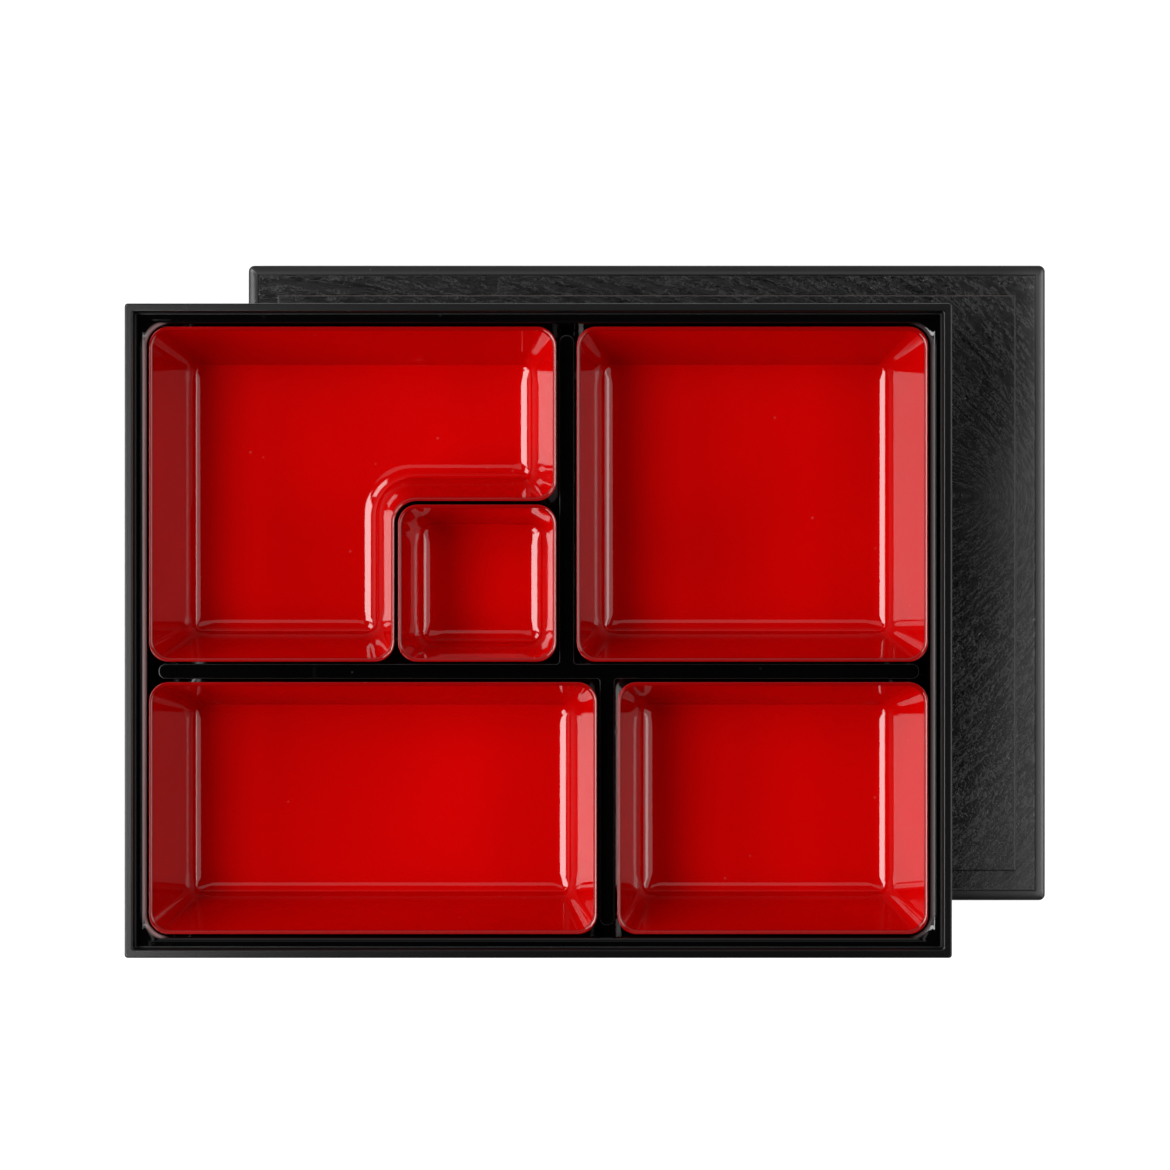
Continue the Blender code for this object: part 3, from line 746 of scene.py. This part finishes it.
# The lid's top inside its bevel, a grid round the lid's middle: border and raised panel with the
# smooth step s = 3t^2 - 2t^3 between them, less the grain's grooves and a crease along the bevel.
# The panel's step is painted pale as a highlight, apart from the side towards the diner, which is
# painted dark as shade.
def lidTop(size, halfX, halfY, borderZ):
    marks = np.concatenate([gridLines["ends"], size["border"] + size["slope"] * gridLines["step"]])
    fine = np.arange(gridLines["fineFrom"], halfX, gridLines["fineStep"])
    columns = gradedAxis(halfX, gridLines["columns"], marks, fine)
    rows = gradedAxis(halfY, gridLines["rows"], marks)
    x, y = np.meshgrid(columns, rows, indexing="ij")
    inX, inY = halfX - np.abs(x), halfY - np.abs(y)
    inside = np.minimum(inX, inY)
    panel = smoothShare(inside, size["border"], size["border"] + size["slope"])
    step = 4 * panel * (1 - panel)
    # Painted shade: the step's side towards the diner is painted dark.
    near = step * (inY < inX) * (y < 0)
    fade = smoothShare(inside, *size["fadeIn"])
    crease = np.exp(-((inside - size["creaseAt"]) / size["creaseWidth"]) ** 2)
    # Painted light: the skin is painted paler towards the right end, where the box's shadow thins.
    bulge = paintedLight["bulge"] * np.exp(-((y - grain["focusY"]) / paintedLight["bulgeWidth"]) ** 2)
    lightShare = smoothShare(x - paintedLight["lean"] * y + bulge, *paintedLight["x"])
    grainShare = fade * (1 - step) * (1 - paintedLight["calm"] * lightShare)
    rings, heart = ringGrooves(x, y)
    sunk = size["relief"] * grainShare * rings + size["crease"] * crease
    z = borderZ + size["rise"] * panel - sunk
    far = smoothShare(np.hypot(x - grain["focusX"], y - grain["focusY"]), *grain["far"])
    # Painted shade: the crease along the bevel and the step's near side are painted dark, and the
    # heart is the grain's own dark arch. The step's other sides are painted pale as a highlight.
    dark = np.maximum(np.maximum(crease, near), size["heartDark"] * heart * fade)
    masks = {"grainShare": grainShare, "rings": rings, "paintedLight": lightShare, "farShare": far,
             "crease": dark, "edge": size["stepHighlight"] * (step - near),
             "smoothPlace": np.exp(-(inside / size["smoothEdge"]) ** 2)}
    return np.stack([x, y, z], axis=-1), masks


# Bevel and skirt, out from the grid's border and down, then up inside: each ring is the border
# stretched to its reach, with its corners on a circle, core + radius (point - core) / distance.
def lidSkirt(size, border, halfX, halfY, borderZ, foot):
    inset = size["edgeRound"] + size["bevel"]
    bevelFoot = borderZ - size["bevelDrop"]
    innerX, hem, innerRound = inset - size["wall"], size["hem"], size["innerRound"]
    plate = foot + size["skirt"]
    profile = np.vstack([
        [(size["bevel"], bevelFoot)],
        arcPoints(size["bevel"], bevelFoot - size["edgeRound"], size["edgeRound"],
                  size["bevelTurn"], 0, 5),
        [(inset, foot + hem), (inset - hem, foot), (innerX + hem, foot), (innerX, foot + hem)],
        arcPoints(innerX - innerRound, plate - innerRound, innerRound, 0, 90, 4),
        [(innerX - innerRound - closing, plate)]])
    outset = profile[:, :1]
    reachX, reachY = halfX + outset, halfY + outset
    ringX = border[:, 0] / halfX * reachX
    ringY = border[:, 1] / halfY * reachY
    radius = np.clip(size["corner"] * outset / inset, size["leastCorner"], None)
    coreX = np.clip(ringX, -(reachX - radius), reachX - radius)
    coreY = np.clip(ringY, -(reachY - radius), reachY - radius)
    away = np.hypot(ringX - coreX, ringY - coreY)
    ringX = coreX + (ringX - coreX) / away * radius
    ringY = coreY + (ringY - coreY) / away * radius
    ringZ = np.broadcast_to(profile[:, 1:], ringX.shape)
    return np.stack([ringX, ringY, ringZ], axis=-1)


# Quads between each line of indices and the next one.
def gridQuads(lines, following):
    return np.stack([lines[:-1], lines[1:], following[1:], following[:-1]], axis=-1).reshape(-1, 4)


def makeLid():
    low, high = np.array(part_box("lid"))
    centre, half = (low + high) / 2, (high - low) / 2
    halfX, halfY = half[:2] - lid["edgeRound"] - lid["bevel"]
    borderZ = half[2] - lid["rise"]
    top, topMasks = lidTop(lid, halfX, halfY, borderZ)
    index = np.arange(top.shape[0] * top.shape[1]).reshape(top.shape[:2])
    # The grid's own border, anticlockwise from its lowest corner
    border = np.concatenate([index[:-1, 0], index[-1, :-1], index[:0:-1, -1], index[0, :0:-1]])
    skirt = lidSkirt(lid, top.reshape(-1, 3)[border], halfX, halfY, borderZ, -half[2])
    skirtIndex = index.size + np.arange(skirt.shape[0] * skirt.shape[1]).reshape(skirt.shape[:2])
    rings = np.vstack([border[None], skirtIndex])
    faces = [gridQuads(index[:, :-1], index[:, 1:]), gridQuads(rings, np.roll(rings, -1, axis=1))]
    faces = np.vstack(faces).tolist() + [rings[-1, ::-1].tolist()]
    # Below the top every mask is 0, apart from the bevel's two rings, which are smooth
    below = {"smoothPlace": np.repeat(np.arange(len(skirt)) < 2, skirt.shape[1])}
    plain = np.zeros(skirtIndex.size)
    masks = {key: np.concatenate([values.ravel(), below.get(key, plain)])
             for key, values in topMasks.items()}
    flat = np.vstack([top.reshape(-1, 3), skirt.reshape(-1, 3)])
    piece = addPiece("lidShell", flat + centre, faces, "lid", "grained_black", masks)
    # The material's grain follows the same arches as the relief
    uv = np.stack(grainMap(flat[:, 0], flat[:, 1]), axis=1)
    layer = piece.data.uv_layers.new(name="grain")
    loops = np.empty(len(piece.data.loops), dtype=np.int32)
    piece.data.loops.foreach_get("vertex_index", loops)
    layer.data.foreach_set("uv", uv[loops].astype(np.float32).ravel())
    return piece


makeLid()


# Stage, lights and camera

# Each light: azimuth and elevation in degrees, distance, length and depth in metres, and radiance
lights = {"key": (184, 56, 1.1, 0.50, 0.42, 10.2),
          "side": (220, 55, 1.1, 0.30, 0.16, 9.0),
          "rear": (145, 49, 1.1, 0.28, 0.20, 8.0),
          "low": (182, 26, 1.4, 2.0, 0.72, 5.0),
          "wall": (-10, 50, 1.3, 1.0, 0.70, 1.3),
          "strip": (4, 46, 1.2, 0.7, 0.20, 4.0),
          "back": (90, 72, 1.2, 0.8, 0.24, 0.65),
          "fill": (90, 60, 1.2, 1.6, 1.0, 0.35)}
# These only lift the shade inside the trays and aren't mirrored
fills = ("low", "fill")
# Greys of the floor for plain rays and for the rest. Overhead, front and rear dim what mirrored
# rays see, each as (from, to, share at from, share at to) along a ray's own Z or Y.
studio = {"floorSize": 8.0, "floorLift": -0.0002, "floorGrey": (0.8, 0.3), "floorGlow": 0.94,
          "ambient": 0.05, "overhead": (0.35, 0.8, 1.0, 0.003), "front": (-0.5, 0.0, 0.03, 1.0),
          "rear": (0.2, 0.8, 1.0, 0.5)}
# Read from the photograph in its own pixels. The distance from the rim is in metres, and the
# sensor in millimetres.
photo = {"pixels": 1170, "pixelsPerMetre": 3033.0, "boxCentreX": 538.2, "boxCentreY": 630.7,
         "rimDistance": 0.755, "sensor": 36.0}


# 1 for rays that come straight from the camera, and 1 for those that are mirrored or pass through.
def rayShares(tree):
    path = addNode(tree, "ShaderNodeLightPath")
    mirrored = mathNode(tree, "MAXIMUM", path.outputs["Is Glossy Ray"],
                        path.outputs["Is Transmission Ray"])
    return path.outputs["Is Camera Ray"], mirrored


# White for the camera and in mirrors, and a pale matt surface for the light that it throws back.
def makeFloor():
    half, lift = studio["floorSize"] / 2, studio["floorLift"]
    mesh = bpy.data.meshes.new("floor")
    corners = [(*corner, lift) for corner in rectangle((-half, -half), (half, half))]
    mesh.from_pydata(corners, [], [(0, 1, 2, 3)])
    material = bpy.data.materials.new("paleFloor")
    material.use_nodes = True
    tree = material.node_tree
    tree.nodes.remove(tree.nodes["Principled BSDF"])
    matt = addNode(tree, "ShaderNodeBsdfDiffuse")
    seen = mathNode(tree, "MAXIMUM", *rayShares(tree))
    tree.links.new(mapRange(tree, seen, 0.0, 1.0, *studio["floorGrey"]), matt.inputs["Color"])
    glow = addNode(tree, "ShaderNodeEmission")
    tree.links.new(mathNode(tree, "MULTIPLY", seen, studio["floorGlow"]), glow.inputs["Strength"])
    both = addNode(tree, "ShaderNodeAddShader")
    tree.links.new(matt.outputs[0], both.inputs[0])
    tree.links.new(glow.outputs[0], both.inputs[1])
    tree.links.new(both.outputs[0], tree.nodes["Material Output"].inputs["Surface"])
    mesh.materials.append(material)
    floor = bpy.data.objects.new("floor", mesh)
    bpy.context.scene.collection.objects.link(floor)


# White for the camera. Mirrored rays see it white round the horizon, but dark overhead and towards
# the diner, and the rest see a plain grey.
def makeWorld():
    world = bpy.data.worlds.new("studio")
    world.use_nodes = True
    tree = world.node_tree
    background = tree.nodes["Background"]
    direction = addNode(tree, "ShaderNodeTexCoord").outputs["Generated"]
    parts = addNode(tree, "ShaderNodeSeparateXYZ")
    tree.links.new(direction, parts.inputs[0])
    overhead = mapRange(tree, parts.outputs["Z"], *studio["overhead"])
    front = mapRange(tree, parts.outputs["Y"], *studio["front"])
    rear = mapRange(tree, parts.outputs["Y"], *studio["rear"])
    horizon = mathNode(tree, "MULTIPLY", overhead, mathNode(tree, "MULTIPLY", front, rear))
    camera, mirrored = rayShares(tree)
    # Inputs 0, 2 and 3 are this mix node's factor and its two numbers
    mixed = addNode(tree, "ShaderNodeMix", data_type="FLOAT")
    for slotIndex, value in ((0, mirrored), (2, studio["ambient"]), (3, horizon)):
        setInput(tree, mixed.inputs[slotIndex], value)
    strength = mathNode(tree, "MAXIMUM", camera, mixed.outputs[0])
    tree.links.new(strength, background.inputs["Strength"])
    background.inputs["Color"].default_value = (1.0, 1.0, 1.0, 1.0)
    bpy.context.scene.world = world


# A rectangular soft box at an azimuth and elevation round the middle of the set, facing it.
# Its power is radiance times pi times area.
def addSoftBox(name, target):
    azimuth, elevation, distance, length, depth, radiance = lights[name]
    light = bpy.data.lights.new(name, "AREA")
    light.shape = "RECTANGLE"
    light.size, light.size_y = length, depth
    light.energy = radiance * math.pi * length * depth
    lamp = bpy.data.objects.new(name, light)
    lift, turn = math.radians(elevation), math.radians(azimuth)
    flat = math.cos(lift)
    away = np.array([flat * math.cos(turn), flat * math.sin(turn), math.sin(lift)])
    lamp.location = np.array(target) + away * distance
    lamp.rotation_euler = (math.pi / 2 - lift, 0.0, turn + math.pi / 2)
    lamp.visible_camera = False
    lamp.visible_glossy = name not in fills
    bpy.context.scene.collection.objects.link(lamp)


# The camera looks straight down. The picture's middle lies beside the box's middle by the pixels
# that the photograph shows, and the lens follows from the scale at the rim.
def makeCamera():
    low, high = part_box("outer_box")
    axis, scale = photo["pixels"] / 2, photo["pixelsPerMetre"]
    middleX = (low[0] + high[0]) / 2 + (axis - photo["boxCentreX"]) / scale
    middleY = (low[1] + high[1]) / 2 + (photo["boxCentreY"] - axis) / scale
    camera = bpy.data.cameras.new("camera")
    camera.sensor_width = photo["sensor"]
    camera.lens = photo["sensor"] * photo["rimDistance"] * scale / photo["pixels"]
    seat = bpy.data.objects.new("camera", camera)
    seat.location = (middleX, middleY, high[2] + photo["rimDistance"])
    bpy.context.scene.collection.objects.link(seat)
    bpy.context.scene.camera = seat
    return middleX, middleY, high[2]


makeFloor()
makeWorld()
aim = makeCamera()
for lightName in lights:
    addSoftBox(lightName, aim)
bpy.context.scene.view_settings.view_transform = "Standard"
print("stage ready")
